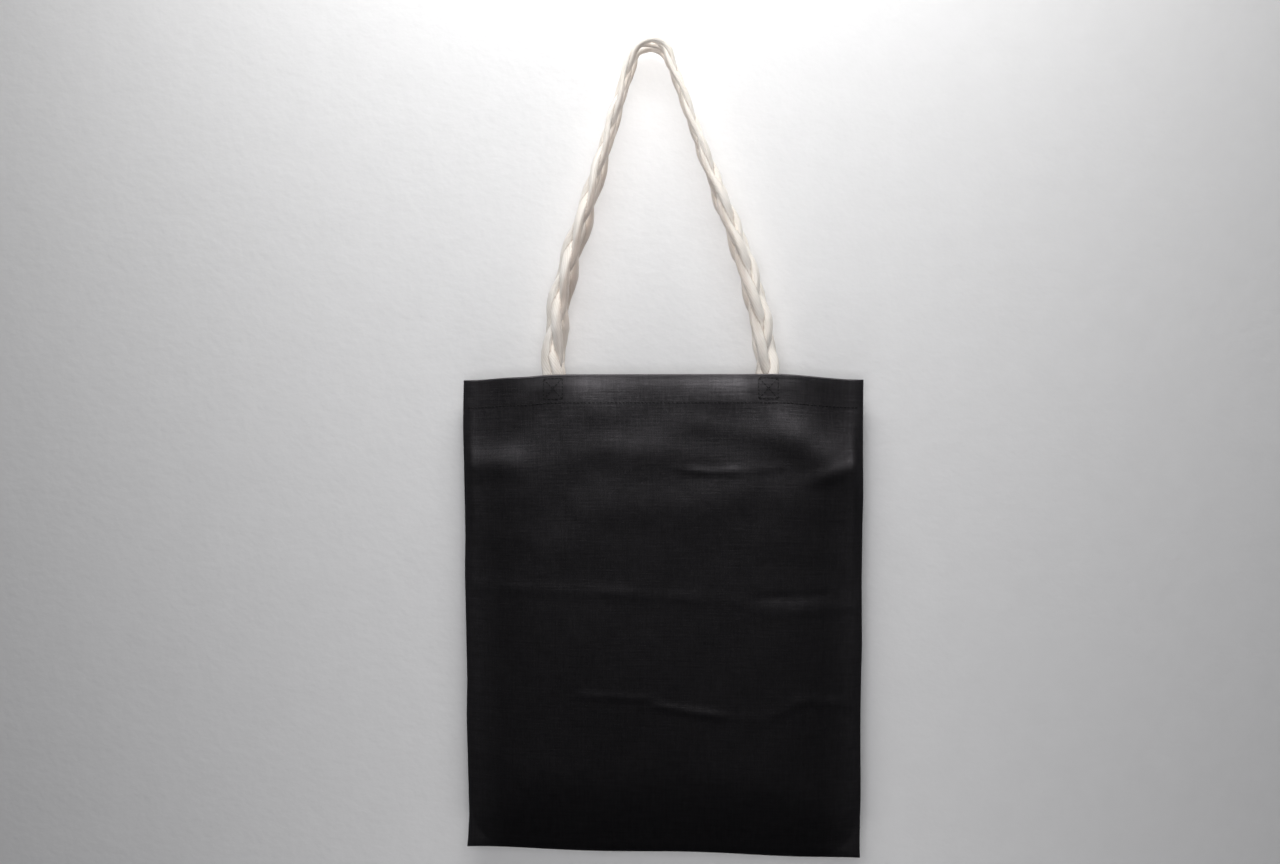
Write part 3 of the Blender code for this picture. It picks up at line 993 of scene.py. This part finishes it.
def add_handle(side, which):
    frames = plait_frames(side, RINGS)
    strands = strand_rings(side, frames)
    line = frames[0]
    obj = joined(f"{which}_handle_plait", COTTON, strands)
    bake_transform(obj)
    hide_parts(*[f"{which}_handle_strand_{k + 1}" for k in range(STRANDS)])
    tuple(line[0])
    for end, label in ((0, "left"), (-1, "right")):
        piece = tail(f"{which}_handle_tail_{label}", side, frames, strands, end)
        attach(piece, f"bag_{which}")
        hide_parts(f"{which}_handle_end_{label}")
    return obj


plaits = [add_handle(side, which) for side, which in SIDES_OF_BAG]


# ---------------------------------------------------------------- stage and light
WALL_Y = 0.0225
WALL_TOP = 1.6
FLOOR_Z = -1.25
STAGE_HALF = 2.5
FLOOR_FRONT = -3.2
FLOOR_BACK = 1.8
BACKDROP = (0.50, 0.50, 0.515)  # the pale room as the camera sees it
BACKDROP_SHARE = 0.85  # how much of the floor's colour is the backdrop's
ROOM_GLOW = 0.05
ROOM_GLOW_IN_GLOSS = 0.02


def one_sided(tree, shader):
    """Shows the shader only from the front, and lets the light behind it through."""
    clear = tree.nodes.new("ShaderNodeBsdfTransparent")
    mixer = tree.nodes.new("ShaderNodeMixShader")
    geometry = tree.nodes.new("ShaderNodeNewGeometry")
    path = tree.nodes.new("ShaderNodeLightPath")
    hide = math_node(tree, "MAXIMUM", geometry.outputs["Backfacing"], path.outputs["Is Shadow Ray"])
    tree.links.new(hide, mixer.inputs[0])
    tree.links.new(shader.outputs[0], mixer.inputs[1])
    tree.links.new(clear.outputs[0], mixer.inputs[2])
    tree.links.new(mixer.outputs[0], tree.nodes["Material Output"].inputs["Surface"])


def wall_material():
    """Matt pale plaster with a fine trowelled grain."""
    mat, tree, shader = new_material("pale_wall")
    place_node = tree.nodes.new("ShaderNodeTexCoord")
    where = place_node.outputs["Object"]
    colour = (0.80, 0.80, 0.808)
    rough = noise(tree, where, 38.0, 5.0, 0.6)
    tint = remap(tree, rough, 0.3, 0.7, 0.0, 1.0)
    darker = tuple(c * 0.975 for c in colour)
    tree.links.new(mix_colour(tree, tint, colour, darker), shader.inputs["Base Color"])
    shader.inputs["Roughness"].default_value = 0.95
    shader.inputs["Specular IOR Level"].default_value = 0.1
    trowelled = noise(tree, scaled(tree, where, (105.0, 105.0, 135.0)), 1.0, 2.5, 0.5)
    bump(tree, shader, trowelled, 0.6, 0.0006, bump(tree, shader, rough, 0.16, 0.002))
    one_sided(tree, shader)
    return mat


def floor_material():
    """Matt pale floor that the camera sees close to the room's own colour."""
    mat, tree, shader = new_material("pale_floor")
    shader.inputs["Base Color"].default_value = (0.74, 0.74, 0.75, 1)
    shader.inputs["Roughness"].default_value = 0.9
    even_glow = tree.nodes.new("ShaderNodeEmission")
    even_glow.inputs["Color"].default_value = (*BACKDROP, 1)
    mixer = tree.nodes.new("ShaderNodeMixShader")
    seen = tree.nodes.new("ShaderNodeLightPath").outputs["Is Camera Ray"]
    tree.links.new(math_node(tree, "MULTIPLY", seen, BACKDROP_SHARE), mixer.inputs[0])
    tree.links.new(shader.outputs[0], mixer.inputs[1])
    tree.links.new(even_glow.outputs[0], mixer.inputs[2])
    tree.links.new(mixer.outputs[0], tree.nodes["Material Output"].inputs["Surface"])
    return mat


def add_plane(name, corners, mat):
    """A stage surface that doesn't show in the object's reflections."""
    obj = add_mesh(name, corners, [(0, 1, 2, 3)], mat, [(0, 0), (1, 0), (1, 1), (0, 1)])
    obj.visible_glossy = False


def add_stage():
    ends = (-STAGE_HALF, STAGE_HALF)
    low = [(x, WALL_Y, FLOOR_Z) for x in ends]
    high = [(x, WALL_Y, WALL_TOP) for x in reversed(ends)]
    add_plane("wall", low + high, wall_material())
    near = [(x, FLOOR_FRONT, FLOOR_Z) for x in ends]
    far = [(x, FLOOR_BACK, FLOOR_Z) for x in reversed(ends)]
    add_plane("floor", near + far, floor_material())


def area_light(name, place_at, look_at, size, power, colour, in_gloss=True):
    data = bpy.data.lights.new(name, "AREA")
    data.shape = "RECTANGLE"
    data.size, data.size_y = size
    data.energy = power
    data.color = colour
    obj = bpy.data.objects.new(name, data)
    obj.location = place_at
    obj.rotation_euler = (Vector(look_at) - Vector(place_at)).to_track_quat("-Z", "Y").to_euler()
    obj.visible_camera = False
    obj.visible_glossy = in_gloss
    bpy.context.scene.collection.objects.link(obj)
    return obj


def shine_through(lamp, objects):
    """These objects throw no shadow in this lamp's light."""
    clear = bpy.data.collections.new(f"no_shadow_from_{lamp.name}")
    for obj in objects:
        clear.objects.link(obj)
    lamp.light_linking.blocker_collection = clear
    for item in clear.collection_objects:
        item.light_linking.link_state = "EXCLUDE"


def add_lights():
    lamp_above = area_light(
        "lamp_above", (0.0, -0.35, 0.38), (0.0, 0.02, -0.20), (0.80, 0.20), 3.6, (1.0, 0.995, 0.98),
    )
    shine_through(lamp_above, plaits)
    area_light("lamp_high", (0.0, -0.70, 0.60), (0.0, 0.0, -0.35), (0.80, 0.35), 4.6, (1.0, 0.995, 0.985))
    area_light(
        "soft_near", (0.0, -0.90, -0.35), (0.0, 0.0, -0.45), (0.50, 0.50), 2.6, (0.99, 0.985, 1.0), False,
    )
    area_light(
        "low_glow", (0.03, -0.32, -1.06), (0.03, 0.02, -0.80), (0.50, 0.15), 0.42, (1.0, 0.99, 0.97), False,
    )
    area_light("soft_back", (0.25, 0.95, -0.05), (0.0, 0.0, -0.4), (0.70, 0.60), 3.0, (1.0, 0.99, 0.98))


def add_room():
    """A dim even glow, dimmer in reflections, and a pale backdrop for the camera."""
    world = bpy.data.worlds.new("world")
    world.use_nodes = True
    tree = world.node_tree
    glow = tree.nodes["Background"]
    glow.inputs["Color"].default_value = (0.93, 0.95, 1.0, 1)
    backdrop = tree.nodes.new("ShaderNodeBackground")
    backdrop.inputs["Color"].default_value = (*BACKDROP, 1)
    room = tree.nodes.new("ShaderNodeMixShader")
    path = tree.nodes.new("ShaderNodeLightPath")
    tree.links.new(path.outputs["Is Camera Ray"], room.inputs[0])
    dimmer = remap(tree, path.outputs["Is Glossy Ray"], 0.0, 1.0, ROOM_GLOW, ROOM_GLOW_IN_GLOSS)
    tree.links.new(dimmer, glow.inputs["Strength"])
    tree.links.new(glow.outputs[0], room.inputs[1])
    tree.links.new(backdrop.outputs[0], room.inputs[2])
    tree.links.new(room.outputs[0], tree.nodes["World Output"].inputs["Surface"])
    bpy.context.scene.world = world


add_stage()
add_lights()
add_room()
bpy.context.scene.view_settings.view_transform = "Standard"
